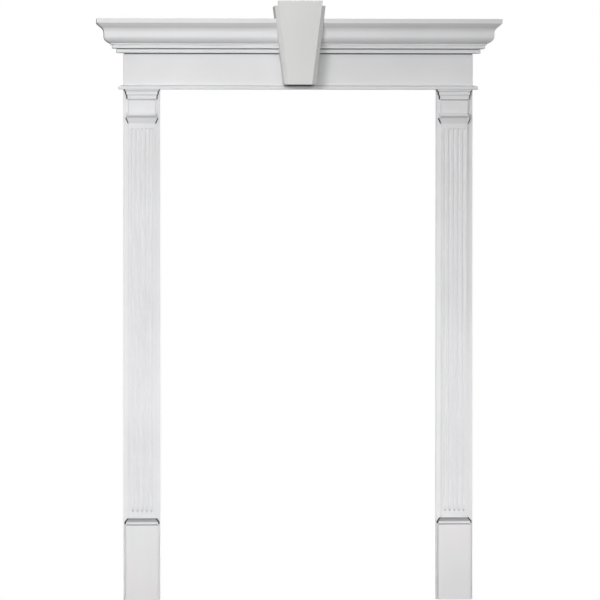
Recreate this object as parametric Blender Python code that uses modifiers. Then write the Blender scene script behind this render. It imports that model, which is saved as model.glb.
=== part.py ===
"""Door surround: a mitred crosshead with a keystone, on two fluted pilasters with plinth blocks.

Metres, +Z up. The wall is the plane y = 0 and the mouldings stand out of it towards -Y, so a
projection from the wall is -y. The origin is the middle of the crosshead's flat back.
"""
import math

import bmesh
import bpy

# Whole surround
OUTER_WIDTH = 1.565           # over the two pilasters and along the crosshead's frieze
PILASTER_LENGTH = 2.286       # foot to the underside of the crosshead
GAP = 0.0003                  # joint between two pieces that touch
LEDGE_DRAFT = 0.0006          # a level ledge rises this much, as a cast one does to leave its mould

# Crosshead, from its underside up; a projection is measured from the frieze's face
FRIEZE_THICKNESS = 0.035      # wall to frieze face
FRIEZE_HEIGHT = 0.1399
TRIM_PROJECTION = 0.022
TRIM_BAND_HEIGHT = 0.0085
TRIM_ROUND_HEIGHT = 0.0090
BAND_QUIRK_HEIGHT = 0.0040    # fine groove under each of the two bands
BAND_QUIRK_DEPTH = 0.0035
LOWER_BAND_PROJECTION = 0.032
LOWER_BAND_HEIGHT = 0.0160
UPPER_BAND_PROJECTION = 0.051
UPPER_BAND_HEIGHT = 0.0120
BEAD_QUIRK_HEIGHT = 0.0031
BEAD_QUIRK_DEPTH = 0.0030
BEAD_PROJECTION = 0.058
BEAD_HEIGHT = 0.0062
OGEE_FOOT_PROJECTION = 0.060
OGEE_BELLY_PROJECTION = 0.089
OGEE_LIP_PROJECTION = 0.107
OGEE_ROUND_HEIGHT = 0.0320
OGEE_BELLY_HEIGHT = 0.0145
OGEE_HOLLOW_HEIGHT = 0.0290
OGEE_SWEEP_DEGREES = 55.0     # each of the ogee's two curves turns this far
SOFFIT_HEIGHT = 0.0142
FILLET_PROJECTION = 0.122
FILLET_HEIGHT = 0.0196
CURVE_STEPS = 8               # facets in one of a moulding's curves

# Keystone
KEYSTONE_PROJECTION = 0.177   # wall to its front face
KEYSTONE_FOOT = 0.0180        # its face's foot above the crosshead's underside
KEYSTONE_UNDERCUT = 0.0095    # its underside drops this far from the face back to the wall
KEYSTONE_HEIGHT = 0.373       # of its face
KEYSTONE_TOP_WIDTH = 0.2000
KEYSTONE_FOOT_WIDTH = 0.1070
KEYSTONE_CHAMFER = 0.0165     # the slanted strip down each side of the front
KEYSTONE_SHOULDER = 0.022     # the body stops this far below the face slab's top
KEYSTONE_ARRIS = 0.001        # the face slab stands this far proud of the chamfers
KEYSTONE_SLAB = 0.024         # thickness of the face slab

# Pilaster board and its raised, fluted panel
BOARD_WIDTH = 0.164
BOARD_THICKNESS = 0.020
PANEL_WIDTH = 0.1175
PANEL_RISE = 0.013            # panel face above the board's face
PANEL_FOOT = 0.3667           # floor to the panel's lower end
PANEL_OVERHANG = 0.011        # the plinth's cap ends this far behind the panel's face
FLUTE_COUNT = 5
FLUTE_PITCH = 0.0208
FLUTE_WIDTH = 0.0130
FLUTE_DEPTH = 0.0060
FLUTE_FOOT = 0.398            # floor to the flutes' lower ends
FLUTE_LENGTH = 1.7145
FLUTE_QUARTER_STEPS = 4       # facets in a quarter of a flute's circle

# Capital, from its top down; a projection is measured from the panel's face and sides
CROWN_PROJECTION = 0.0175
CROWN_TOP_HEIGHT = 0.0060
CROWN_UPPER_COVE_HEIGHT = 0.0090
CROWN_MIDDLE_PROJECTION = 0.0110
CROWN_MIDDLE_HEIGHT = 0.0085
CROWN_LOWER_COVE_HEIGHT = 0.0085
CROWN_LOWER_PROJECTION = 0.0060
CROWN_LOWER_HEIGHT = 0.0121
CROWN_QUIRK_HEIGHT = 0.0055
CROWN_QUIRK_DEPTH = 0.0035    # behind the neck's face and sides
NECK_PROJECTION = 0.0022
NECK_HEIGHT = 0.0570
ASTRAGAL_PROJECTION = 0.0170  # forward only; at the sides it goes no further than the apron
ASTRAGAL_HEIGHT = 0.0107
ASTRAGAL_SLANT_HEIGHT = 0.0104
APRON_PROJECTION = 0.0100
APRON_HEIGHT = 0.0244
COVE_STEPS = 4                # facets in each of the crown's two coves

# Plinth block with its splayed cap
PLINTH_WIDTH = 0.147
PLINTH_THICKNESS = 0.0277     # board face to the block's face
PLINTH_HEIGHT = 0.3362        # floor to the quirk under the cap
CAP_QUIRK_HEIGHT = 0.0048
CAP_QUIRK_DEPTH = 0.0050
CAP_RIM_SETBACK = 0.0020      # the cap's rim behind the block's face and sides
CAP_RIM_HEIGHT = 0.0095
CAP_TOP_WIDTH = 0.1175

# Shadow slots in the board beside the crown, the apron and the plinth's cap
SLOT_WIDTH = 0.0060
CAP_SLOT_WIDTH = 0.0080
SLOT_DEPTH = 0.0090
SLOT_COVER = 0.0015           # how far a slot runs in under the moulding beside it

PAINT = (0.86, 0.86, 0.87, 1.0)
KEYSTONE_PAINT = (0.81, 0.81, 0.80, 1.0)
PAINT_ROUGHNESS = 0.55

QUARTER_TURN = math.radians(90.0)
OGEE_SWEEP = math.radians(OGEE_SWEEP_DEGREES)
NEARLY_FLAT = math.radians(0.3)   # faces that meet at less than this are one face

# Places that follow from the sizes
HALF_FRIEZE = OUTER_WIDTH / 2.0
PILASTER_CENTRE = (OUTER_WIDTH - BOARD_WIDTH) / 2.0
PANEL_FACE = BOARD_THICKNESS + PANEL_RISE
HALF_PANEL = PANEL_WIDTH / 2.0
SIDES = (("left", -1), ("right", 1))


def arc(steps, run, rise, upright_last, sweep=QUARTER_TURN):
    """Points of an ellipse's arc as (run so far, rise so far), without its start.

    It turns through `sweep` and ends upright where `upright_last` is true, or else starts upright.
    """
    full_run = run / (1.0 - math.cos(sweep))
    full_rise = rise / math.sin(sweep)
    points = []
    for step in range(1, steps + 1):
        if upright_last:
            left = sweep * (steps - step) / steps
            points.append((run - full_run * (1.0 - math.cos(left)), rise - full_rise * math.sin(left)))
        else:
            turned = sweep * step / steps
            points.append((full_run * (1.0 - math.cos(turned)), full_rise * math.sin(turned)))
    return points


def crosshead_profile():
    """The crosshead's section as (projection from the frieze's face, height above its underside)."""
    points = [(TRIM_PROJECTION, 0.0), (TRIM_PROJECTION, TRIM_BAND_HEIGHT)]
    height = TRIM_BAND_HEIGHT
    for run, rise in arc(CURVE_STEPS, TRIM_PROJECTION, TRIM_ROUND_HEIGHT, upright_last=False):
        points.append((TRIM_PROJECTION - run, height + rise))
    height += TRIM_ROUND_HEIGHT
    # Frieze and bands, each a flat face that ends in a fine groove under the next one's ledge
    members = (
        (0.0, FRIEZE_HEIGHT, BAND_QUIRK_HEIGHT, BAND_QUIRK_DEPTH),
        (LOWER_BAND_PROJECTION, LOWER_BAND_HEIGHT, BAND_QUIRK_HEIGHT, BAND_QUIRK_DEPTH),
        (UPPER_BAND_PROJECTION, UPPER_BAND_HEIGHT, BEAD_QUIRK_HEIGHT, BEAD_QUIRK_DEPTH),
    )
    for face, face_height, quirk_height, quirk_depth in members:
        points.append((face, height + LEDGE_DRAFT))
        height += face_height
        points.append((face, height))
        points.append((face - quirk_depth, height + LEDGE_DRAFT))
        height += quirk_height
        points.append((face - quirk_depth, height))
    points.append((BEAD_PROJECTION, height + LEDGE_DRAFT))
    height += BEAD_HEIGHT
    points.append((BEAD_PROJECTION, height))
    points.append((OGEE_FOOT_PROJECTION, height + LEDGE_DRAFT))
    belly = OGEE_BELLY_PROJECTION - OGEE_FOOT_PROJECTION
    round_height = OGEE_ROUND_HEIGHT - LEDGE_DRAFT
    for run, rise in arc(CURVE_STEPS, belly, round_height, upright_last=True, sweep=OGEE_SWEEP):
        points.append((OGEE_FOOT_PROJECTION + run, height + LEDGE_DRAFT + rise))
    height += OGEE_ROUND_HEIGHT + OGEE_BELLY_HEIGHT
    points.append((OGEE_BELLY_PROJECTION, height))
    lip = OGEE_LIP_PROJECTION - OGEE_BELLY_PROJECTION
    for run, rise in arc(CURVE_STEPS, lip, OGEE_HOLLOW_HEIGHT, upright_last=False, sweep=OGEE_SWEEP):
        points.append((OGEE_BELLY_PROJECTION + run, height + rise))
    height += OGEE_HOLLOW_HEIGHT + SOFFIT_HEIGHT
    points.append((FILLET_PROJECTION, height))
    points.append((FILLET_PROJECTION, height + FILLET_HEIGHT))
    return points


CROSSHEAD_HEIGHT = crosshead_profile()[-1][1]
CROSSHEAD_FOOT = -CROSSHEAD_HEIGHT / 2.0
PILASTER_TOP = CROSSHEAD_FOOT - GAP
FLOOR = PILASTER_TOP - PILASTER_LENGTH

# The capital's levels, each the foot of the member it is named for
CROWN_COVE_FOOT = PILASTER_TOP - CROWN_TOP_HEIGHT - CROWN_UPPER_COVE_HEIGHT
CROWN_LOWER_COVE_FOOT = CROWN_COVE_FOOT - CROWN_MIDDLE_HEIGHT - CROWN_LOWER_COVE_HEIGHT
CROWN_FOOT = CROWN_LOWER_COVE_FOOT - CROWN_LOWER_HEIGHT
CROWN_QUIRK_FOOT = CROWN_FOOT - CROWN_QUIRK_HEIGHT
NECK_FOOT = CROWN_QUIRK_FOOT - NECK_HEIGHT
ASTRAGAL_FOOT = NECK_FOOT - ASTRAGAL_HEIGHT
APRON_TOP = ASTRAGAL_FOOT - ASTRAGAL_SLANT_HEIGHT
APRON_FOOT = APRON_TOP - APRON_HEIGHT

# The plinth's levels
CAP_FOOT = FLOOR + PLINTH_HEIGHT + CAP_QUIRK_HEIGHT
CAP_RIM_TOP = CAP_FOOT + CAP_RIM_HEIGHT
HALF_CAP_RIM = PLINTH_WIDTH / 2.0 - CAP_RIM_SETBACK


def collection(name):
    """A new collection in the scene."""
    made = bpy.data.collections.new(name)
    bpy.context.scene.collection.children.link(made)
    return made


def paint(name, colour):
    """Matt paint as a Principled material."""
    material = bpy.data.materials.new(name)
    material.use_nodes = True
    shader = material.node_tree.nodes["Principled BSDF"]
    shader.inputs["Base Color"].default_value = colour
    shader.inputs["Roughness"].default_value = PAINT_ROUGHNESS
    shader.inputs["Metallic"].default_value = 0.0
    return material


def finished(name, group, model):
    """Turns a bmesh into an object of the collection, with its faces pointing out."""
    model.normal_update()
    bmesh.ops.recalc_face_normals(model, faces=model.faces)
    mesh = bpy.data.meshes.new(name)
    model.to_mesh(mesh)
    model.free()
    thing = bpy.data.objects.new(name, mesh)
    group.objects.link(thing)
    return thing


def as_cutter(thing):
    """Marks an object as a shape that only cuts or joins others."""
    thing.hide_render = True
    thing.display_type = "WIRE"
    return thing


def boolean(target, other, operation):
    """Adds an exact Boolean with one other object."""
    modifier = target.modifiers.new(other.name, "BOOLEAN")
    modifier.operation = operation
    modifier.solver = "EXACT"
    modifier.object = as_cutter(other)


def grown_block(rings, start_axis, start_sign, place):
    """A closed block through rings of four corners, each ring extruded from the one before.

    It grows from a cube, whose side at `start_sign` along `start_axis` becomes the first ring.
    `place` gives a corner's position from its ring and from the corner's signs on that cube.
    """
    model = bmesh.new()
    bmesh.ops.create_cube(model, size=2.0)
    signs = {corner: corner.co.copy() for corner in model.verts}
    first = {corner for corner in signs if signs[corner][start_axis] * start_sign > 0.0}
    face = next(item for item in model.faces if first.isdisjoint(item.verts))
    for corner in signs:
        corner.co = place(rings[0] if corner in first else rings[1], signs[corner])
    for ring in rings[2:]:
        signs_at = {tuple(corner.co): signs[corner] for corner in face.verts}
        covered = face
        grown = bmesh.ops.extrude_face_region(model, geom=[covered])["geom"]
        face = next(item for item in grown if isinstance(item, bmesh.types.BMFace))
        bmesh.ops.delete(model, geom=[covered], context="FACES_ONLY")
        signs = {corner: signs_at[tuple(corner.co)] for corner in face.verts}
        for corner in signs:
            corner.co = place(ring, signs[corner])
    return model


def mitred_stack(name, group, rings, back=0.0, centre=0.0):
    """A block raised from its foot, where each ring is (half width, projection, height).

    Every ring keeps its back edge on the plane that lies `back` in front of the wall, so a
    moulding runs along the front and returns down both ends with mitred corners.
    """
    def place(ring, signs):
        half_width, projection, height = ring
        return (centre + signs.x * half_width, -projection if signs.y < 0.0 else -back, height)

    model = grown_block(rings, 2, -1.0, place)
    bmesh.ops.dissolve_limit(model, angle_limit=NEARLY_FLAT, verts=model.verts, edges=model.edges)
    return finished(name, group, model)


def tapered_prism(name, group, outlines):
    """A block grown away from the wall through four-sided outlines, back to front.

    Each outline is (projection, foot height, top height, half width at foot, half width at top).
    """
    def place(outline, signs):
        projection, foot, top, half_foot, half_top = outline
        if signs.z > 0.0:
            return (signs.x * half_top, -projection, top)
        return (signs.x * half_foot, -projection, foot)

    return finished(name, group, grown_block(outlines, 1, 1.0, place))


def crosshead_rings(clearance=0.0):
    """The crosshead's section as rings, or the same section grown all round by a clearance."""
    rings = []
    for projection, height in crosshead_profile():
        half_width = HALF_FRIEZE + projection + clearance
        rings.append((half_width, FRIEZE_THICKNESS + projection + clearance, CROSSHEAD_FOOT + height))
    foot_width, foot_depth, foot_height = rings[0]
    rings[0] = (foot_width, foot_depth, foot_height - clearance)
    top_width, top_depth, top_height = rings[-1]
    rings[-1] = (top_width, top_depth, top_height + clearance)
    return rings


def make_crosshead(group, material):
    """Cornice, two bands, plain frieze and bottom trim, moulded in one."""
    crosshead = mitred_stack("crosshead", group, crosshead_rings())
    crosshead.data.materials.append(material)


def make_keystone(group, cutters, material):
    """A wedge over the crosshead's middle: a face slab, chamfered sides, and a back coped to fit."""
    face_foot = CROSSHEAD_FOOT + KEYSTONE_FOOT
    slab_top = face_foot + KEYSTONE_HEIGHT
    body_top = slab_top - KEYSTONE_SHOULDER
    foot_width = KEYSTONE_FOOT_WIDTH
    widening = (KEYSTONE_TOP_WIDTH - foot_width) / KEYSTONE_HEIGHT

    def outline(projection, raised, top, margin):
        """One outline, with its foot `raised` above the sloping underside, `margin` wider a side."""
        foot = face_foot - KEYSTONE_UNDERCUT * (1.0 - projection / KEYSTONE_PROJECTION) + raised
        half_widths = [(foot_width + widening * (height - face_foot)) / 2.0 + margin for height in (foot, top)]
        return (projection, foot, top, *half_widths)

    chamfer_back = KEYSTONE_PROJECTION - KEYSTONE_CHAMFER
    chamfer_front = KEYSTONE_PROJECTION - KEYSTONE_ARRIS
    keystone = tapered_prism("keystone", group, [
        outline(0.0, KEYSTONE_ARRIS, body_top, KEYSTONE_CHAMFER),
        outline(chamfer_back, KEYSTONE_ARRIS, body_top, KEYSTONE_CHAMFER),
        outline(chamfer_front, KEYSTONE_ARRIS, body_top, -KEYSTONE_ARRIS),
    ])
    keystone.data.materials.append(material)
    slab = tapered_prism("keystone_slab", cutters, [
        outline(KEYSTONE_PROJECTION - KEYSTONE_SLAB, 0.0, slab_top, 0.0),
        outline(KEYSTONE_PROJECTION, 0.0, slab_top, 0.0),
    ])
    cope = mitred_stack("keystone_cope", cutters, crosshead_rings(GAP), back=-GAP)
    boolean(keystone, slab, "UNION")
    boolean(keystone, cope, "DIFFERENCE")


def panel_rings():
    """The raised panel and the capital on it as rings, from the panel's foot to the pilaster's top."""
    quirk_projection = NECK_PROJECTION - CROWN_QUIRK_DEPTH
    # Each row is how far the member stands out sideways, how far forward, and its height
    section = [
        (0.0, 0.0, FLOOR + PANEL_FOOT),
        (0.0, 0.0, APRON_FOOT),
        (APRON_PROJECTION, APRON_PROJECTION, APRON_TOP),
        (APRON_PROJECTION, ASTRAGAL_PROJECTION, ASTRAGAL_FOOT),
        (APRON_PROJECTION, ASTRAGAL_PROJECTION, NECK_FOOT - LEDGE_DRAFT),
        (NECK_PROJECTION, NECK_PROJECTION, NECK_FOOT),
        (NECK_PROJECTION, NECK_PROJECTION, CROWN_QUIRK_FOOT),
        (quirk_projection, quirk_projection, CROWN_QUIRK_FOOT + LEDGE_DRAFT),
        (quirk_projection, quirk_projection, CROWN_FOOT),
        (CROWN_LOWER_PROJECTION, CROWN_LOWER_PROJECTION, CROWN_FOOT + LEDGE_DRAFT),
        (CROWN_LOWER_PROJECTION, CROWN_LOWER_PROJECTION, CROWN_LOWER_COVE_FOOT),
    ]
    middle_run = CROWN_MIDDLE_PROJECTION - CROWN_LOWER_PROJECTION
    for run, rise in arc(COVE_STEPS, middle_run, CROWN_LOWER_COVE_HEIGHT, upright_last=False):
        projection = CROWN_LOWER_PROJECTION + run
        section.append((projection, projection, CROWN_LOWER_COVE_FOOT + rise))
    section.append((CROWN_MIDDLE_PROJECTION, CROWN_MIDDLE_PROJECTION, CROWN_COVE_FOOT))
    crown_run = CROWN_PROJECTION - CROWN_MIDDLE_PROJECTION
    for run, rise in arc(COVE_STEPS, crown_run, CROWN_UPPER_COVE_HEIGHT, upright_last=False):
        projection = CROWN_MIDDLE_PROJECTION + run
        section.append((projection, projection, CROWN_COVE_FOOT + rise))
    section.append((CROWN_PROJECTION, CROWN_PROJECTION, PILASTER_TOP))
    return [(HALF_PANEL + aside, PANEL_FACE + forward, height) for aside, forward, height in section]


def flute_cutter(name, group, centre_x):
    """A rod with round ends, turned about an upright axis: a profile with a Screw modifier."""
    radius = (FLUTE_WIDTH ** 2 / 4.0 + FLUTE_DEPTH ** 2) / (2.0 * FLUTE_DEPTH)
    foot = FLOOR + FLUTE_FOOT
    top = foot + FLUTE_LENGTH
    angles = [QUARTER_TURN * step / FLUTE_QUARTER_STEPS for step in range(1, FLUTE_QUARTER_STEPS)]
    points = [(0.0, 0.0, top)]
    points += [(radius * math.sin(turn), 0.0, top - radius + radius * math.cos(turn)) for turn in angles]
    points += [(radius, 0.0, top - radius), (radius, 0.0, foot + radius)]
    points += [(radius * math.cos(turn), 0.0, foot + radius - radius * math.sin(turn)) for turn in angles]
    points.append((0.0, 0.0, foot))
    mesh = bpy.data.meshes.new(name)
    mesh.from_pydata(points, [(index, index + 1) for index in range(len(points) - 1)], [])
    rod = bpy.data.objects.new(name, mesh)
    group.objects.link(rod)
    rod.location = (centre_x, FLUTE_DEPTH - radius - PANEL_FACE, 0.0)
    screw = rod.modifiers.new("turn", "SCREW")
    screw.axis = "Z"
    screw.steps = 4 * FLUTE_QUARTER_STEPS
    screw.render_steps = screw.steps
    screw.use_merge_vertices = True
    screw.merge_threshold = 0.00001
    return rod


def slot_lines():
    """The slots as (name, width, low end, high end), each end (distance from centre, height)."""
    half_crown_foot = HALF_PANEL + CROWN_LOWER_PROJECTION
    half_crown = HALF_PANEL + CROWN_PROJECTION
    half_cap_top = CAP_TOP_WIDTH / 2.0
    return [
        ("crown", SLOT_WIDTH, (half_crown_foot, CROWN_FOOT), (half_crown, PILASTER_TOP + SLOT_COVER)),
        ("apron", SLOT_WIDTH, (HALF_PANEL, APRON_FOOT), (HALF_PANEL + APRON_PROJECTION, APRON_TOP)),
        ("cap_rim", CAP_SLOT_WIDTH, (HALF_CAP_RIM, CAP_FOOT), (HALF_CAP_RIM, CAP_RIM_TOP)),
        ("cap_splay", CAP_SLOT_WIDTH, (HALF_CAP_RIM, CAP_RIM_TOP), (half_cap_top, FLOOR + PANEL_FOOT)),
    ]


def slot_cutter(name, group, centre, sign, width, low, high):
    """A leaning bar along a moulding's edge, from its low end to its high end."""
    def place(end, signs):
        distance, height = end
        inner = distance - SLOT_COVER
        across = inner + (width if signs.x > 0.0 else 0.0)
        depth = BOARD_THICKNESS + (SLOT_COVER if signs.y < 0.0 else -SLOT_DEPTH)
        return (centre + sign * across, -depth, height)

    return finished(name, group, grown_block([low, high], 2, -1.0, place))


def make_pilaster(side, centre, group, cutters, material):
    """A board with the raised fluted panel and the capital, moulded in one."""
    half_board = BOARD_WIDTH / 2.0
    pilaster = mitred_stack("pilaster_" + side, group, [
        (half_board, BOARD_THICKNESS, FLOOR),
        (half_board, BOARD_THICKNESS, PILASTER_TOP),
    ], centre=centre)
    pilaster.data.materials.append(material)
    panel = mitred_stack("panel_" + side, cutters, panel_rings(), back=BOARD_THICKNESS / 2.0, centre=centre)
    boolean(pilaster, panel, "UNION")
    for index in range(FLUTE_COUNT):
        offset = (index - (FLUTE_COUNT - 1) / 2.0) * FLUTE_PITCH
        boolean(pilaster, flute_cutter(f"flute_{side}_{index + 1}", cutters, centre + offset), "DIFFERENCE")
    for place, width, low, high in slot_lines():
        for edge, sign in SIDES:
            cutter = slot_cutter(f"slot_{side}_{place}_{edge}", cutters, centre, sign, width, low, high)
            boolean(pilaster, cutter, "DIFFERENCE")


def plinth_rings():
    """The plinth block and its splayed cap as rings, from the floor to the panel's foot."""
    half_block = PLINTH_WIDTH / 2.0
    half_quirk = half_block - CAP_QUIRK_DEPTH
    half_top = CAP_TOP_WIDTH / 2.0
    face = BOARD_THICKNESS + PLINTH_THICKNESS
    rim_face = face - CAP_RIM_SETBACK
    quirk = FLOOR + PLINTH_HEIGHT
    return [
        (half_block, face, FLOOR),
        (half_block, face, quirk),
        (half_quirk, face - CAP_QUIRK_DEPTH, quirk + LEDGE_DRAFT),
        (half_quirk, face - CAP_QUIRK_DEPTH, CAP_FOOT),
        (HALF_CAP_RIM, rim_face, CAP_FOOT + LEDGE_DRAFT),
        (HALF_CAP_RIM, rim_face, CAP_RIM_TOP),
        (half_top, PANEL_FACE - PANEL_OVERHANG, FLOOR + PANEL_FOOT - GAP),
    ]


def make_plinth(side, centre, group, material):
    """The block on the board's foot, with a splayed cap under the panel's end."""
    plinth = mitred_stack("plinth_" + side, group, plinth_rings(), back=BOARD_THICKNESS + GAP, centre=centre)
    plinth.data.materials.append(material)


def main():
    """Builds the whole surround."""
    for thing in list(bpy.data.objects):
        bpy.data.objects.remove(thing)
    surround = collection("door_surround")
    cutters = collection("cutters")
    make_crosshead(surround, paint("crosshead_paint", PAINT))
    make_keystone(surround, cutters, paint("keystone_paint", KEYSTONE_PAINT))
    pilaster_paint = paint("pilaster_paint", PAINT)
    plinth_paint = paint("plinth_paint", PAINT)
    for side, sign in SIDES:
        make_pilaster(side, sign * PILASTER_CENTRE, surround, cutters, pilaster_paint)
        make_plinth(side, sign * PILASTER_CENTRE, surround, plinth_paint)


main()
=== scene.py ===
"""White door surround of painted foam plastic: the looks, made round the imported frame."""
import math

import bpy
import numpy as np
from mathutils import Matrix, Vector


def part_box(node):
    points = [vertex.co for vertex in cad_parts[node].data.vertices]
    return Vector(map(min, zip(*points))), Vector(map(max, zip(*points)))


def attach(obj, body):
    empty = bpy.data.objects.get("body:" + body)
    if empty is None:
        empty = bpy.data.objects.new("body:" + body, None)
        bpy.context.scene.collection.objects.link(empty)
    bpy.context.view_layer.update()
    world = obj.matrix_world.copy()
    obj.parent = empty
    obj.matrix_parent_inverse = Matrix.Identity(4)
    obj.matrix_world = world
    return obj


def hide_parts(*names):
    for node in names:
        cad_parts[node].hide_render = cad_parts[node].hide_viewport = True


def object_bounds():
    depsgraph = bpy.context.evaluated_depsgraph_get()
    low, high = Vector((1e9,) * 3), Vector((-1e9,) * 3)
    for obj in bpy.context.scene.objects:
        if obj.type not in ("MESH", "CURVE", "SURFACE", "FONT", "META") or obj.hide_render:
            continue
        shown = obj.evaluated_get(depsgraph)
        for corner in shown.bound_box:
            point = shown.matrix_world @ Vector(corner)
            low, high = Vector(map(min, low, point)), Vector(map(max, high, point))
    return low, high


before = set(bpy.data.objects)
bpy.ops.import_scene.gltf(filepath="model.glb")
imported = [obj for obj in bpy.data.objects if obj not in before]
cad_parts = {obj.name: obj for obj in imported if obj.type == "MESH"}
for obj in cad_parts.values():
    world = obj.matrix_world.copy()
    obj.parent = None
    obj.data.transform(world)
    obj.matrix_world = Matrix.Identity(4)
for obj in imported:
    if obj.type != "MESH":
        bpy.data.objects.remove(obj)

cad_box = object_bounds()

# Crosshead
# The head of the surround: a cornice over two flat bands, a plain frieze and a bottom trim, moulded as one
# length of foam plastic with mitred returns. It is primed white and fixed to the wall over the opening.
crosshead_low, crosshead_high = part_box("crosshead")
ledge_draft = 0.0006
fillet_projection = 0.122
frieze_half = crosshead_high.x - fillet_projection
frieze_face = -crosshead_low.y - fillet_projection
trim_projection = 0.022
trim_band = 0.0085
trim_round = 0.0090
frieze_height = 0.1399
lower_band_projection = 0.032
lower_band_height = 0.0160
upper_band_projection = 0.051
upper_band_height = 0.0120
band_quirk_height = 0.0040
band_quirk_depth = 0.0035
bead_quirk_height = 0.0031
bead_quirk_depth = 0.0030
bead_projection = 0.058
bead_height = 0.0062
ogee_foot_projection = 0.060
ogee_belly_projection = 0.089
ogee_lip_projection = 0.107
ogee_sweep = math.radians(55.0)
ogee_round = 0.0320
ogee_belly = 0.0145
ogee_hollow = 0.0290
soffit_height = 0.0142
fillet_height = 0.0196
crosshead_arris = 0.0012
crosshead_corner = 0.0012
crosshead_front_steps = 40
quarter_turn = math.pi / 2.0
corner_points = 6
groove_step = 0.0002
least_rise = 0.00003
least_length = 1e-9
smooth_angle = math.radians(38.0)
# Painted shade: how dark the grooves under the two bands and the creases at the ogee's foot and top are
# painted, and over what height at the creases.
lower_quirk_shade = 0.80
upper_quirk_shade = 0.62
crease_shade = 0.10
crease_shade_height = 0.003
primer_white = (0.86, 0.86, 0.87, 1.0)
# The near black that painted shade blends towards.
painted_shade_black = (0.012, 0.012, 0.011, 1.0)
drift_scale = 3.1
drift_detail = 3.0
drift_range = (0.35, 0.65)
drift_dimming = 0.955
blush_scale = 5.3
blush_detail = 1.5
blush_range = (0.42, 0.68)
sheen_scale = 38.0
sheen_detail = 2.0
sheen_range = (0.3, 0.7)
roughness_range = (0.48, 0.62)
peel_scale = 900.0
peel_detail = 2.0
peel_strength = 0.25
peel_height = 0.0002


def swept(start, run, rise, upright_last=False, sweep=quarter_turn, steps=14):
    """An ellipse's arc from `start` that turns through `sweep`, upright at its start or at its end.

    A turn a from the upright place takes it (1 - cos a) / (1 - cos sweep) of the run and
    sin a / sin sweep of the rise away from there.
    """
    a = np.linspace(0.0, sweep, steps + 1)
    share = np.stack([(1.0 - np.cos(a)) / (1.0 - math.cos(sweep)), np.sin(a) / math.sin(sweep)], axis=-1)
    if upright_last:
        share = 1.0 - share[::-1]
    return np.asarray(start) + share * (run, rise)


def eased(corners, reach, steps=4, longest_share=0.45):
    """Rounds every inner corner of a polyline, for any number of polylines at once.

    A corner becomes the parabola (1-t)(1-t) a + 2t(1-t) corner + t t b, where a and b lie on its two
    sides at `reach` from it, or at `longest_share` of a side that is too short for that.
    """
    before, here, after = corners[..., :-2, :], corners[..., 1:-1, :], corners[..., 2:, :]
    t = np.linspace(0.0, 1.0, steps + 1)[:, None]

    def towards(neighbour):
        side = neighbour - here
        length = np.maximum(np.linalg.norm(side, axis=-1, keepdims=True), least_length)
        return (here + side * np.minimum(reach / length, longest_share))[..., None, :]

    curve = (1 - t) ** 2 * towards(before) + 2 * t * (1 - t) * here[..., None, :] + t ** 2 * towards(after)
    inner = curve.reshape(*corners.shape[:-2], -1, corners.shape[-1])
    return np.concatenate([corners[..., :1, :], inner, corners[..., -1:, :]], axis=-2)


def crosshead_profile():
    """The crosshead's section as (projection from the frieze, height above its underside), foot to top.

    Beside it come its levels: the two grooves under the bands, the ogee's foot, and the crease
    between the ogee and the soffit.
    """
    trim_top = trim_band + trim_round
    frieze_top = trim_top + frieze_height
    lower_foot = frieze_top + band_quirk_height
    lower_top = lower_foot + lower_band_height
    upper_foot = lower_top + band_quirk_height
    upper_top = upper_foot + upper_band_height
    bead_foot = upper_top + bead_quirk_height
    bead_top = bead_foot + bead_height
    belly_top = bead_top + ogee_round + ogee_belly
    soffit_foot = belly_top + ogee_hollow
    fillet_foot = soffit_foot + soffit_height
    fillet_top = fillet_foot + fillet_height
    lower_quirk = lower_band_projection - band_quirk_depth
    bead_quirk = upper_band_projection - bead_quirk_depth
    ogee_start = (ogee_foot_projection, bead_top + ledge_draft)
    belly_run = ogee_belly_projection - ogee_foot_projection
    belly_end = (ogee_belly_projection, belly_top)
    lip_run = ogee_lip_projection - ogee_belly_projection
    outline = np.vstack([
        (0.0, 0.0),
        (trim_projection, 0.0),
        swept((trim_projection, trim_band), -trim_projection, trim_round),
        (0.0, frieze_top),
        (-band_quirk_depth, frieze_top + ledge_draft),
        (-band_quirk_depth, lower_foot),
        (lower_band_projection, lower_foot + ledge_draft),
        (lower_band_projection, lower_top),
        (lower_quirk, lower_top + ledge_draft),
        (lower_quirk, upper_foot),
        (upper_band_projection, upper_foot + ledge_draft),
        (upper_band_projection, upper_top),
        (bead_quirk, upper_top + ledge_draft),
        (bead_quirk, bead_foot),
        (bead_projection, bead_foot + ledge_draft),
        (bead_projection, bead_top),
        swept(ogee_start, belly_run, ogee_round - ledge_draft, upright_last=True, sweep=ogee_sweep),
        swept(belly_end, lip_run, ogee_hollow, sweep=ogee_sweep),
        (fillet_projection, fillet_foot),
        (fillet_projection, fillet_top),
        (0.0, fillet_top),
    ])
    levels = {
        "lower_quirk": (frieze_top, lower_foot),
        "upper_quirk": (lower_top, upper_foot),
        "ogee_foot": bead_top + ledge_draft,
        "crease": soffit_foot,
    }
    return outline, levels


def open_between(heights, openings, step=groove_step):
    """One inside any of the openings and nothing outside them, with a rise of `step` at each end."""
    ends = np.array([[low - step, low, high, high + step] for low, high in openings]).ravel()
    return np.interp(heights, ends, np.tile([0.0, 1.0, 1.0, 0.0], len(openings)))


def fading_from(distance, reach):
    """One at no distance, falling in a straight line to nothing at `reach`, and nothing behind."""
    return np.clip(1.0 - distance / reach, 0.0, 1.0) * (distance >= -least_rise)


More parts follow.
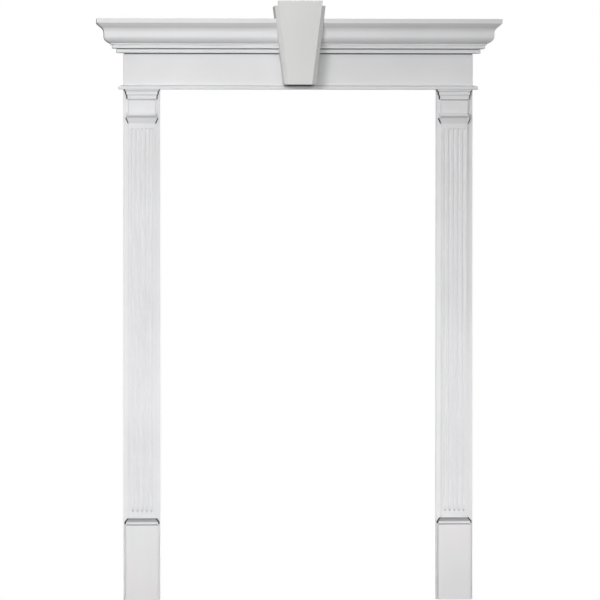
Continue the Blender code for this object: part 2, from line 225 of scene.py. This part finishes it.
def mitred(rows, back, radius, front_steps, centre=0.0):
    """Carries rows of (half width, front, height) along a left return, a front and a right return.

    A row is the rectangle of that half width between the plane `back` in front of the wall and its
    own front. Its two front corners are quarter circles of `radius`.
    """
    turn = np.linspace(0.0, quarter_turn, corner_points)
    along = np.linspace(-1.0, 1.0, front_steps + 1)[1:-1]
    corner = np.ones(corner_points)
    side = np.concatenate([[-1.0], -corner, along, corner, [1.0]])
    out = np.concatenate([[-1.0], -np.cos(turn), 0.0 * along, np.cos(turn[::-1]), [1.0]])
    ahead = np.concatenate([[0.0], np.sin(turn), 0.0 * along + 1.0, np.sin(turn[::-1]), [0.0]])
    on_front = np.concatenate([[0.0], np.ones(len(side) - 2), [0.0]])
    half_width, front, height = (rows[:, column, None] for column in range(3))
    x = centre + side * (half_width - radius) + out * radius
    y = -(back + on_front * (front - radius - back) + ahead * radius)
    return np.stack([x, y, np.broadcast_to(height, x.shape)], axis=-1)


def painted(name, colour, blush=None):
    """Matt primer on moulded foam: a slow drift of tone, a fine peel in the surface, and painted shade.

    Where a slow noise is high, the colour is its own times the drift's dimming. A blush is blended
    in by a second slow noise times its last number. Painted shade is blended towards near black
    by a mesh attribute that holds how much shade is painted at each point.
    """
    material = bpy.data.materials.new(name)
    material.use_nodes = True
    nodes = material.node_tree.nodes
    links = material.node_tree.links
    shader = nodes["Principled BSDF"]
    place = nodes.new("ShaderNodeTexCoord").outputs["Object"]

    def noise(scale, detail):
        texture = nodes.new("ShaderNodeTexNoise")
        texture.inputs["Scale"].default_value = scale
        texture.inputs["Detail"].default_value = detail
        links.new(place, texture.inputs["Vector"])
        return texture.outputs["Fac"]

    def ranged(source, taken, given):
        node = nodes.new("ShaderNodeMapRange")
        for socket, value in zip(("From Min", "From Max", "To Min", "To Max"), taken + given):
            node.inputs[socket].default_value = value
        links.new(source, node.inputs["Value"])
        return node.outputs["Result"]

    # A Mix node that is set to colours takes them at inputs 6 and 7, and gives its colour at output 2.
    def blended(factor, first, second):
        node = nodes.new("ShaderNodeMix")
        node.data_type = "RGBA"
        links.new(factor, node.inputs[0])
        for socket, value in ((node.inputs[6], first), (node.inputs[7], second)):
            if isinstance(value, tuple):
                socket.default_value = value
            else:
                links.new(value, socket)
        return node.outputs[2]

    dimmer = tuple(channel * drift_dimming for channel in colour[:3]) + (1.0,)
    tone = blended(ranged(noise(drift_scale, drift_detail), drift_range, (0.0, 1.0)), colour, dimmer)
    if blush is not None:
        share = ranged(noise(blush_scale, blush_detail), blush_range, (0.0, blush[3]))
        tone = blended(share, tone, blush[:3] + (1.0,))
    # Painted shade: a mesh attribute blends the colour towards near black where shade falls, in grooves,
    # slots, creases and under the keystone.
    painted_shade = nodes.new("ShaderNodeAttribute")
    painted_shade.attribute_name = "painted_shade"
    links.new(blended(painted_shade.outputs["Fac"], tone, painted_shade_black), shader.inputs["Base Color"])
    sheen = ranged(noise(sheen_scale, sheen_detail), sheen_range, roughness_range)
    links.new(sheen, shader.inputs["Roughness"])
    bump = nodes.new("ShaderNodeBump")
    bump.inputs["Strength"].default_value = peel_strength
    bump.inputs["Distance"].default_value = peel_height
    links.new(noise(peel_scale, peel_detail), bump.inputs["Height"])
    links.new(bump.outputs["Normal"], shader.inputs["Normal"])
    return material


def make_piece(name, grid, node, material, painted_shade):
    """A closed piece from a grid of points (foot to top, left round to right), capped at both ends.

    The last column joins the first across the back. Each point carries its painted shade, from 0
    where the colour is its own to 1 where shade is painted near black. The piece rides on the frame
    and stands for one node.
    """
    rows, columns = grid.shape[:2]
    index = np.arange(rows * columns).reshape(rows, columns)
    onward = np.roll(index, -1, axis=1)
    quads = np.stack([index[:-1], onward[:-1], onward[1:], index[1:]], axis=-1).reshape(-1, 4)
    faces = quads.tolist() + [index[0, ::-1].tolist(), index[-1].tolist()]
    mesh = bpy.data.meshes.new(name)
    mesh.from_pydata(grid.reshape(-1, 3), [], faces)
    # Painted shade: each point's share of darkening towards near black, kept as a mesh attribute.
    shade = mesh.attributes.new("painted_shade", "FLOAT", "POINT")
    shade.data.foreach_set("value", painted_shade.ravel().astype(np.float32))
    mesh.materials.append(material)
    mesh.shade_smooth()
    mesh.set_sharp_from_angle(angle=smooth_angle)
    piece = bpy.data.objects.new(name, mesh)
    bpy.context.scene.collection.objects.link(piece)
    piece.modifiers.new("even_normals", "WEIGHTED_NORMAL").keep_sharp = True
    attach(piece, "root")
    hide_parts(node)
    return piece


outline, crosshead_levels = crosshead_profile()
section_reach, section_height = eased(outline, crosshead_arris).T
rows = np.stack([frieze_half + section_reach, frieze_face + section_reach,
                 crosshead_low.z + section_height], axis=-1)
grid = mitred(rows, back=0.0, radius=crosshead_corner, front_steps=crosshead_front_steps)
# Painted shade: the grooves under the bands and the creases at the ogee's foot and top are darkened in the
# colour where shade falls. It runs round each whole row, so it also crosses the flat back.
crosshead_shade = (
    lower_quirk_shade * open_between(section_height, [crosshead_levels["lower_quirk"]])
    + upper_quirk_shade * open_between(section_height, [crosshead_levels["upper_quirk"]])
    + crease_shade * fading_from(section_height - crosshead_levels["ogee_foot"], crease_shade_height)
    + crease_shade * fading_from(crosshead_levels["crease"] - section_height, crease_shade_height)
)
painted_shade = np.broadcast_to(crosshead_shade[:, None], grid.shape[:2])
crosshead_paint = painted("crosshead_paint", primer_white)
crosshead = make_piece("crosshead_moulding", grid, "crosshead", crosshead_paint, painted_shade)

# Keystone
# A wedge of the same foam plastic over the crosshead's middle, glued on and a little greyer. A thin face
# slab stands proud of slanted strips down both sides, the underside slopes down towards the wall, and the
# back is coped to sit on the mouldings.
keystone_low, keystone_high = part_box("keystone")
keystone_front = -keystone_low.y
keystone_lift = 0.0180
keystone_face_foot = crosshead_low.z + keystone_lift
keystone_undercut = 0.0095
keystone_foot_half = 0.1070 / 2.0
keystone_top_half = 0.2000 / 2.0
keystone_chamfer = 0.0165
keystone_shoulder = 0.022
keystone_reveal = 0.001
keystone_proud = 0.0019
keystone_slab = 0.024
keystone_arris = 0.0016
keystone_step = 0.0003
keystone_rows = 40
underside_rows = 10
least_thickness = 0.001
underside_inner_share = 0.9
# Painted shade on the keystone's underside: how dark, and the half widths where it is full and where it has
# faded.
underside_shade = 0.78
underside_dark_half = 0.048
underside_pale_half = 0.064
glue_gap = 0.0003
keystone_white = (0.81, 0.81, 0.80, 1.0)


def distinct_heights(parts, low, high):
    """The heights in the parts that lie from low to high, in order and more than `least_rise` apart."""
    heights = np.unique(np.concatenate(parts))
    heights = heights[(heights >= low) & (heights <= high)]
    return heights[np.concatenate([[True], np.diff(heights) > least_rise])]


def end_inset(heights, foot, top, radius):
    """How far a block's sides draw in near its foot and top: radius less the quarter circle's reach."""
    past = np.clip(np.maximum(heights - (top - radius), (foot + radius) - heights), 0.0, radius)
    return radius - np.sqrt(radius ** 2 - past ** 2)


def keystone_grid():
    """The keystone as level sections: half widths grow in a straight line from its foot to its top.

    A section runs from the coped back along the side, the slanted strip and the slab's edge to the
    face. Above the shoulder only the slab is left. Below the face's foot a section ends in front
    where the sloping underside reaches its height. Beside it comes each point's share of painted
    shade, which darkens the underside in its colour and fades towards its sides.
    """
    low, foot, top = keystone_low.z, keystone_face_foot, keystone_high.z
    body_top = top - keystone_shoulder
    rounding = keystone_arris * (1.0 - np.sin(np.linspace(0.0, quarter_turn, corner_points)))
    coped = crosshead_low.z + section_height
    z = distinct_heights([
        np.linspace(low, foot - keystone_step, underside_rows),
        [foot, body_top, body_top + keystone_step],
        foot + rounding,
        top - rounding,
        body_top - rounding,
        coped,
        [crosshead_high.z + glue_gap * 2.0],
        np.linspace(foot, top, keystone_rows),
    ], low, top)

    inset = end_inset(z, foot, top, keystone_arris)
    spread = (keystone_top_half - keystone_foot_half) * (z - foot) / (top - foot)
    half = keystone_foot_half + spread - inset
    front = keystone_front - inset
    wide = half + keystone_chamfer - end_inset(z, low - keystone_arris, body_top, keystone_arris)
    cope = np.interp(z, coped, frieze_face + section_reach + glue_gap)
    behind = np.where(z > crosshead_high.z + glue_gap, 0.0, cope)
    slab_back = np.full_like(z, keystone_front - keystone_slab)
    underside = keystone_front * (1.0 - (foot + keystone_reveal - z) / keystone_undercut)
    cut = np.maximum(underside, behind + least_thickness)

    body = [
        (wide, behind),
        (wide, front - keystone_chamfer),
        (half, front - keystone_proud),
        (half, front),
    ]
    slab = [
        (half, slab_back),
        (half, slab_back + keystone_slab / 3.0),
        (half, slab_back + keystone_slab * 2.0 / 3.0),
        (half, front),
    ]
    below = [
        (wide, behind),
        (wide, cut),
        (half, cut),
        (half * underside_inner_share, cut),
    ]
    below_share = np.interp(z, [foot - keystone_step, foot], [1.0, 0.0])
    slab_share = np.interp(z, [body_top, body_top + keystone_step], [0.0, 1.0])
    shares = (1.0 - below_share - slab_share, slab_share, below_share)
    right = sum(share[:, None, None] * np.stack([np.stack(corner, axis=-1) for corner in corners], axis=1)
                for share, corners in zip(shares, (body, slab, below)))
    left = right * (-1.0, 1.0)
    section = eased(np.concatenate([left, right[:, ::-1]], axis=1), keystone_arris)

    height = np.broadcast_to(z[:, None], section.shape[:2])
    # Painted shade: the underside is darkened in the colour, fully in the middle and fading towards the
    # sides.
    fade = np.interp(np.abs(section[..., 0]), [underside_dark_half, underside_pale_half], [1.0, 0.0])
    shade = underside_shade * fade * (height <= foot)
    return np.stack([section[..., 0], -section[..., 1], height], axis=-1), shade


keystone_paint = painted("keystone_paint", keystone_white)
grid, painted_shade = keystone_grid()
keystone = make_piece("keystone_wedge", grid, "keystone", keystone_paint, painted_shade)

# Pilasters
# Two flat boards of the same foam plastic, fixed to the wall. Each is moulded in one with a raised panel of
# five round-ended flutes and a small capital of coves, neck and astragal. Narrow slots open in the board
# beside the crown, the apron and the plinth.
board_half = 0.164 / 2.0
board_thickness = 0.020
panel_half = 0.1175 / 2.0
panel_rise = 0.013
panel_foot = 0.3667
pilaster_arris = 0.0010
pilaster_rows = 60
side_draft = 0.0005
flute_count = 5
flute_pitch = 0.0208
flute_half = 0.0130 / 2.0
flute_depth = 0.0060
flute_foot = 0.398
flute_length = 1.7145
flute_radius = (flute_half ** 2 + flute_depth ** 2) / (2.0 * flute_depth)
flute_land = 1.3
flute_edge_round = 0.10
flute_end_width = 0.12
flute_arc_points = 15
flute_end_rows = 14
# Painted shade at the flutes' lower ends: how dark, and over what height it fades.
flute_foot_shade = 0.65
flute_foot_shade_height = 0.008
crown_projection = 0.0175
crown_top_height = 0.0060
crown_upper_cove = 0.0090
crown_middle_projection = 0.0110
crown_middle_height = 0.0085
crown_lower_cove = 0.0085
crown_lower_projection = 0.0060
crown_lower_height = 0.0121
crown_quirk_height = 0.0055
crown_quirk_depth = 0.0035
# Painted shade in the crown's quirk.
crown_quirk_shade = 0.30
neck_projection = 0.0022
neck_height = 0.0570
astragal_projection = 0.0170
astragal_height = 0.0107
astragal_slant_height = 0.0104
# Painted shade on the slant under the astragal.
astragal_slant_shade = 0.20
astragal_ear_drop = 0.0090
apron_projection = 0.0100
apron_height = 0.0244
capital_lead = 0.01
edge_strip = 0.0015
edge_support = 0.0025
slot_depth = 0.0090
slot_open = 0.0045
cap_slot_open = 0.0065
slot_lip = 0.0012
slot_wall_run = 0.0003
board_edge_margin = 0.0004
plinth_quirk_foot = 0.3362
plinth_quirk_height = 0.0048
plinth_rim_setback = 0.0020
cap_foot = plinth_quirk_foot + plinth_quirk_height
cap_rim_height = 0.0095
cap_rim_top = cap_foot + cap_rim_height
cap_rim_half = 0.147 / 2.0 - plinth_rim_setback


def capital_profile(top):
    """The capital's section as (forward projection, height, sideways projection), from its apron up.

    Beside it come the heights of its apron, slant, astragal, quirk and crown.
    """
    quirk = neck_projection - crown_quirk_depth
    upper_cove = top - crown_top_height - crown_upper_cove
    lower_cove = upper_cove - crown_middle_height - crown_lower_cove
    crown_foot = lower_cove - crown_lower_height
    quirk_foot = crown_foot - crown_quirk_height
    neck_foot = quirk_foot - neck_height
    astragal_foot = neck_foot - astragal_height
    apron_top = astragal_foot - astragal_slant_height
    apron_foot = apron_top - apron_height
    lower_start = (crown_lower_projection, lower_cove)
    lower_run = crown_middle_projection - crown_lower_projection
    upper_start = (crown_middle_projection, upper_cove)
    upper_run = crown_projection - crown_middle_projection
    forward = np.vstack([
        (0.0, apron_foot - capital_lead),
        (0.0, apron_foot),
        (apron_projection, apron_top),
        (astragal_projection, astragal_foot),
        (astragal_projection, neck_foot - ledge_draft),
        (neck_projection, neck_foot),
        (neck_projection, quirk_foot),
        (quirk, quirk_foot + ledge_draft),
        (quirk, crown_foot),
        (crown_lower_projection, crown_foot + ledge_draft),
        swept(lower_start, lower_run, crown_lower_cove, steps=8),
        swept(upper_start, upper_run, crown_upper_cove, steps=8),
        (crown_projection, top),
    ])
    on_astragal = (forward[:, 1] > apron_top) & (forward[:, 1] < neck_foot)
    aside = np.where(on_astragal, apron_projection, forward[:, 0])
    levels = {
        "apron": (apron_foot, apron_top),
        "slant": (apron_top, astragal_foot),
        "astragal": (astragal_foot, neck_foot - ledge_draft),
        "quirk": (quirk_foot, crown_foot),
        "crown": (crown_foot, top + capital_lead),
    }
    return np.column_stack([forward, aside]), levels


def flute_section():
    """One flute across, in half widths and depths: an arc of a circle with its two edges rounded."""
    spread = math.asin(flute_half / flute_radius)
    turn = np.linspace(-spread, spread, flute_arc_points)
    across = flute_radius * np.sin(turn) / flute_half
    down = (flute_radius * np.cos(turn) - flute_radius + flute_depth) / flute_depth
    arc = np.stack([across, np.maximum(down, 0.0)], axis=-1)
    return eased(np.vstack([(-flute_land, 0.0), arc, (flute_land, 0.0)]), flute_edge_round, steps=3)


def flute_reach(z, low, high):
    """A flute's half width and depth at each height: whole from low to high, and a round beyond them.

    At a distance d past them the half width is the root of (half width squared - d squared), and the
    depth is that of the flute's own circle at d, until both run out.
    """
    past = np.clip(np.maximum(z - high, low - z), 0.0, flute_half)
    width = np.maximum(np.sqrt(flute_half ** 2 - past ** 2), flute_end_width * flute_half)
    depth = np.sqrt(flute_radius ** 2 - past ** 2) - (flute_radius - flute_depth)
    return width, np.where(past < flute_half, np.maximum(depth, 0.0), 0.0)


def side_section(edge, face, ear, ear_width, slot_floor, slot_edge):
    """The right side at each height as (across, depth): the panel's edge, the slot, the board's edge.

    The panel's edge falls back by the ear's share of its drop over the ear's width.
    """
    board_edge = np.full_like(edge, board_half)
    board_face = np.full_like(edge, board_thickness)
    corners = [
        (edge - ear_width - edge_support, face),
        (edge - ear_width, face),
        (edge, face - astragal_ear_drop * ear),
        (edge + side_draft, slot_floor),
        (slot_edge, slot_floor),
        (slot_edge + slot_wall_run, board_face),
        (board_edge, board_face),
        (board_edge, np.zeros_like(edge)),
    ]
    return eased(np.stack([np.stack(corner, axis=-1) for corner in corners], axis=1), pilaster_arris)


def pilaster_grid(centre, floor, top):
    """A pilaster as level sections from the floor to its top, and each point's painted shade.

    Across, depth is the board's, plus the panel's rise, plus the capital's projection, less the
    flutes' arcs, and less the slots. The panel's sides move out with the capital, and the astragal's
    ends fall back in a bevel, so that its face is only as wide as the panel.
    """
    outline, levels = capital_profile(top)
    outline = eased(outline, pilaster_arris)
    foot = floor + panel_foot
    slots = [(floor + cap_foot, foot), levels["apron"], levels["crown"]]
    slot_z = np.array([[low - groove_step, low, high, high + groove_step] for low, high in slots]).ravel()
    rounding = np.linspace(0.0, quarter_turn, corner_points)
    panel_z = np.concatenate([[foot], foot + groove_step + pilaster_arris * (1.0 - np.cos(rounding))])
    panel_share = np.concatenate([[0.0], 1.0 - pilaster_arris / panel_rise * (1.0 - np.sin(rounding))])
    flute_low = floor + flute_foot + flute_radius
    flute_high = floor + flute_foot + flute_length - flute_radius
    rim = flute_half * np.sin(np.linspace(0.0, quarter_turn, flute_end_rows))
    z = distinct_heights([
        np.linspace(floor, top, pilaster_rows),
        [floor + cap_rim_top],
        outline[:, 1],
        panel_z,
        slot_z,
        flute_low - rim,
        flute_high + rim,
    ], floor, top)

    forward = np.interp(z, outline[:, 1], outline[:, 0])
    aside = np.interp(z, outline[:, 1], outline[:, 2])
    edge = np.interp(z, [floor + cap_rim_top, foot], [cap_rim_half, panel_half]) + aside
    face = board_thickness + panel_rise * np.interp(z, panel_z, panel_share) + forward
    ear = open_between(z, [levels["astragal"]], step=astragal_slant_height)
    ear_width = np.maximum(aside * ear, edge_strip)
    slot_floor = board_thickness - slot_depth * open_between(z, slots)
    widths = np.outer((cap_slot_open, slot_open, slot_open), (0.0, 1.0, 1.0, 0.0)).ravel()
    slot_edge = edge + side_draft + np.maximum(np.interp(z, slot_z, widths), slot_lip)
    right = side_section(edge, face, ear, ear_width, slot_floor, slot_edge)
    left = right[:, ::-1] * (-1.0, 1.0)

    width, depth = flute_reach(z, flute_low, flute_high)
    unit = flute_section()
    middles = (np.arange(flute_count) - (flute_count - 1) / 2.0) * flute_pitch
    across = middles[None, :, None] + unit[None, None, :, 0] * width[:, None, None]
    down = face[:, None, None] - unit[None, None, :, 1] * depth[:, None, None]
    flutes = np.stack([across, np.broadcast_to(down, across.shape)], axis=-1).reshape(len(z), -1, 2)
    section = np.concatenate([left, flutes, right], axis=1)
    height = np.broadcast_to(z[:, None], section.shape[:2])
    grid = np.stack([centre + section[..., 0], -section[..., 1], height], axis=-1)

    # Painted shade: the slots darken in the colour the deeper they go, the flutes at their lower ends, and
    # the capital's quirk and the slant under the astragal, where shade falls.
    from_middle = np.abs(section[..., 0])
    painted_shade = np.clip((board_thickness - section[..., 1]) / slot_depth, 0.0, 1.0)
    painted_shade = painted_shade * (from_middle < board_half - board_edge_margin)
    foot_shade = flute_foot_shade * fading_from(z - floor - flute_foot, flute_foot_shade_height)
    first, last = left.shape[1], left.shape[1] + flutes.shape[1]
    painted_shade[:, first:last] = (foot_shade * (depth > 0.0))[:, None] * np.tile(unit[:, 1], flute_count)
    capital_shade = (
        crown_quirk_shade * open_between(z, [levels["quirk"]])
        + astragal_slant_shade * open_between(z, [levels["slant"]])
    )
    on_panel = from_middle <= edge[:, None] + side_draft
    return grid, np.maximum(painted_shade, capital_shade[:, None] * on_panel)


pilaster_paint = painted("pilaster_paint", primer_white)
for side in ("left", "right"):
    low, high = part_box("pilaster_" + side)
    grid, painted_shade = pilaster_grid((low.x + high.x) / 2.0, low.z, high.z)
    pilaster = make_piece("pilaster_board_" + side, grid, "pilaster_" + side, pilaster_paint, painted_shade)

# Plinths
# A plain block on each board's foot, with a fine quirk and a splayed cap that runs in under the end of the
# fluted panel. It is the same foam plastic, its primer faintly pink low down, and it is glued to the board.
plinth_quirk_depth = 0.0050
# Painted shade in the plinth's quirk and on the splayed cap under the panel's overhang.
plinth_quirk_shade = 0.55
plinth_splay_shade = 0.475
splay_shade_start = 0.0003
plinth_foot_ease = 0.004
panel_overhang = 0.011
plinth_arris = 0.0010
plinth_corner = 0.0012
plinth_front_steps = 12
plinth_blush = (0.89, 0.80, 0.81, 0.30)


def plinth_rows(low, high):
    """The plinth as rows of (half width, front, height): block, quirk, rim, then a splay to the top."""
    half = (high.x - low.x) / 2.0
    front = -low.y
    quirk_foot = low.z + plinth_quirk_foot
    quirk_half, quirk_front = half - plinth_quirk_depth, front - plinth_quirk_depth
    rim_foot = low.z + cap_foot
    rim_half, rim_front = half - plinth_rim_setback, front - plinth_rim_setback
    splay_front = board_thickness + panel_rise - panel_overhang
    return np.vstack([
        (half - plinth_foot_ease, front - plinth_foot_ease, low.z),
        (half, front, low.z),
        (half, front, quirk_foot),
        (quirk_half, quirk_front, quirk_foot + ledge_draft),
        (quirk_half, quirk_front, rim_foot),
        (rim_half, rim_front, rim_foot + ledge_draft),
        (rim_half, rim_front, low.z + cap_rim_top),
        (panel_half, splay_front, high.z),
    ])


plinth_paint = painted("plinth_paint", primer_white, plinth_blush)
for side in ("left", "right"):
    low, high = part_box("plinth_" + side)
    rows = eased(plinth_rows(low, high), plinth_arris)
    middle = (low.x + high.x) / 2.0
    grid = mitred(rows, back=-high.y, radius=plinth_corner, front_steps=plinth_front_steps, centre=middle)
    heights = rows[:, 2] - low.z
    splay_shade_foot = cap_rim_top + splay_shade_start
    # Painted shade: the quirk and the splayed cap are darkened in the colour where shade falls under the
    # panel's end.
    plinth_shade = (
        plinth_quirk_shade * open_between(heights, [(plinth_quirk_foot, cap_foot)])
        + plinth_splay_shade * open_between(heights, [(splay_shade_foot, panel_foot)])
    )
    painted_shade = np.broadcast_to(plinth_shade[:, None], grid.shape[:2])
    plinth = make_piece("plinth_block_" + side, grid, "plinth_" + side, plinth_paint, painted_shade)

# Floor and sky
# A plain white studio: the floor and the sky both look pure white, and light the surround more softly
# than they look.
floor_reach = 40.0
floor_gap = 0.0005
floor_roughness = 0.9
bounce_grey = (0.22, 0.22, 0.22, 1.0)
sky_light = 0.30
pure_white = (1.0, 1.0, 1.0, 1.0)


def camera_white(tree, output, lit):
    """Shows pure white to the camera, and the shader `lit` to every other ray."""
    kind = "ShaderNodeEmission" if output.type == "OUTPUT_MATERIAL" else "ShaderNodeBackground"
    white = tree.nodes.new(kind)
    white.inputs["Color"].default_value = pure_white
    white.inputs["Strength"].default_value = 1.0
    seen = tree.nodes.new("ShaderNodeLightPath")
    chooser = tree.nodes.new("ShaderNodeMixShader")
    tree.links.new(seen.outputs["Is Camera Ray"], chooser.inputs[0])
    tree.links.new(lit.outputs[0], chooser.inputs[1])
    tree.links.new(white.outputs[0], chooser.inputs[2])
    tree.links.new(chooser.outputs[0], output.inputs["Surface"])


floor_height = cad_box[0].z - floor_gap
floor_corners = [
    (-floor_reach, -floor_reach, floor_height),
    (floor_reach, -floor_reach, floor_height),
    (floor_reach, floor_reach, floor_height),
    (-floor_reach, floor_reach, floor_height),
]
floor_mesh = bpy.data.meshes.new("studio_floor")
floor_mesh.from_pydata(floor_corners, [], [(0, 1, 2, 3)])
floor = bpy.data.objects.new("studio_floor", floor_mesh)
bpy.context.scene.collection.objects.link(floor)
floor_paint = bpy.data.materials.new("studio_floor")
floor_paint.use_nodes = True
floor_nodes = floor_paint.node_tree.nodes
floor_shader = floor_nodes["Principled BSDF"]
floor_shader.inputs["Base Color"].default_value = bounce_grey
floor_shader.inputs["Roughness"].default_value = floor_roughness
camera_white(floor_paint.node_tree, floor_nodes["Material Output"], floor_shader)
floor_mesh.materials.append(floor_paint)

sky = bpy.data.worlds.new("studio_sky")
bpy.context.scene.world = sky
sky.use_nodes = True
sky_nodes = sky.node_tree.nodes
sky_nodes["Background"].inputs["Color"].default_value = pure_white
sky_nodes["Background"].inputs["Strength"].default_value = sky_light
camera_white(sky.node_tree, sky_nodes["World Output"], sky_nodes["Background"])

# Lights
# A soft key a little left of the middle and above the crosshead casts the keystone's shadow. One far on
# the left lights the returns, a broad one in front fills the shadow, and two narrow ones near the floor
# bring the pilasters and plinths up to the head.
bpy.context.scene.view_settings.view_transform = "Standard"


def area_lamp(name, place, aim, size, power, spread=180.0):
    """A square lamp of `size` metres at its place, turned to its aim, with its spread in degrees."""
    light = bpy.data.lights.new(name, "AREA")
    light.size = size
    light.energy = power
    light.spread = math.radians(spread)
    lamp = bpy.data.objects.new(name, light)
    bpy.context.scene.collection.objects.link(lamp)
    lamp.location = place
    lamp.rotation_euler = (Vector(aim) - Vector(place)).to_track_quat("-Z", "Y").to_euler()


area_lamp("key", place=(-1.0, -2.8, 0.58), aim=(-0.7, -0.1, -0.2), size=0.8, power=27.5)
area_lamp("side", place=(-4.0, -2.0, -0.1), aim=(-0.4, 0.0, -0.2), size=1.2, power=16.0)
area_lamp("front", place=(0.0, -6.5, -1.1), aim=(0.0, 0.0, -1.0), size=4.0, power=130.0)
area_lamp("low_left", place=(-1.0, -4.0, -1.9), aim=(-0.7, 0.0, -1.9), size=0.8, power=3.2, spread=55.0)
area_lamp("low_right", place=(1.5, -4.0, -1.8), aim=(0.7, 0.0, -1.8), size=0.8, power=3.4, spread=50.0)

# Camera
# A very long lens at eye height, left of the middle, turned back to the surround and tipped down a degree.
camera_distance = 24.0
camera_aside = -1.40
camera_turn = -0.05863
camera_tilt = 0.01692
eye_height = 1.75
focal_pixels = 5362.9
picture_pixels = 600.0
sensor_width = 36.0
farthest_seen = 200.0
camera_data = bpy.data.cameras.new("camera")
camera_data.sensor_width = sensor_width
camera_data.lens = sensor_width * focal_pixels / picture_pixels
camera_data.clip_end = farthest_seen
camera = bpy.data.objects.new("camera", camera_data)
bpy.context.scene.collection.objects.link(camera)
camera.location = (camera_aside, -camera_distance, cad_box[0].z + eye_height)
camera.rotation_euler = (quarter_turn - camera_tilt, 0.0, camera_turn)
bpy.context.scene.camera = camera
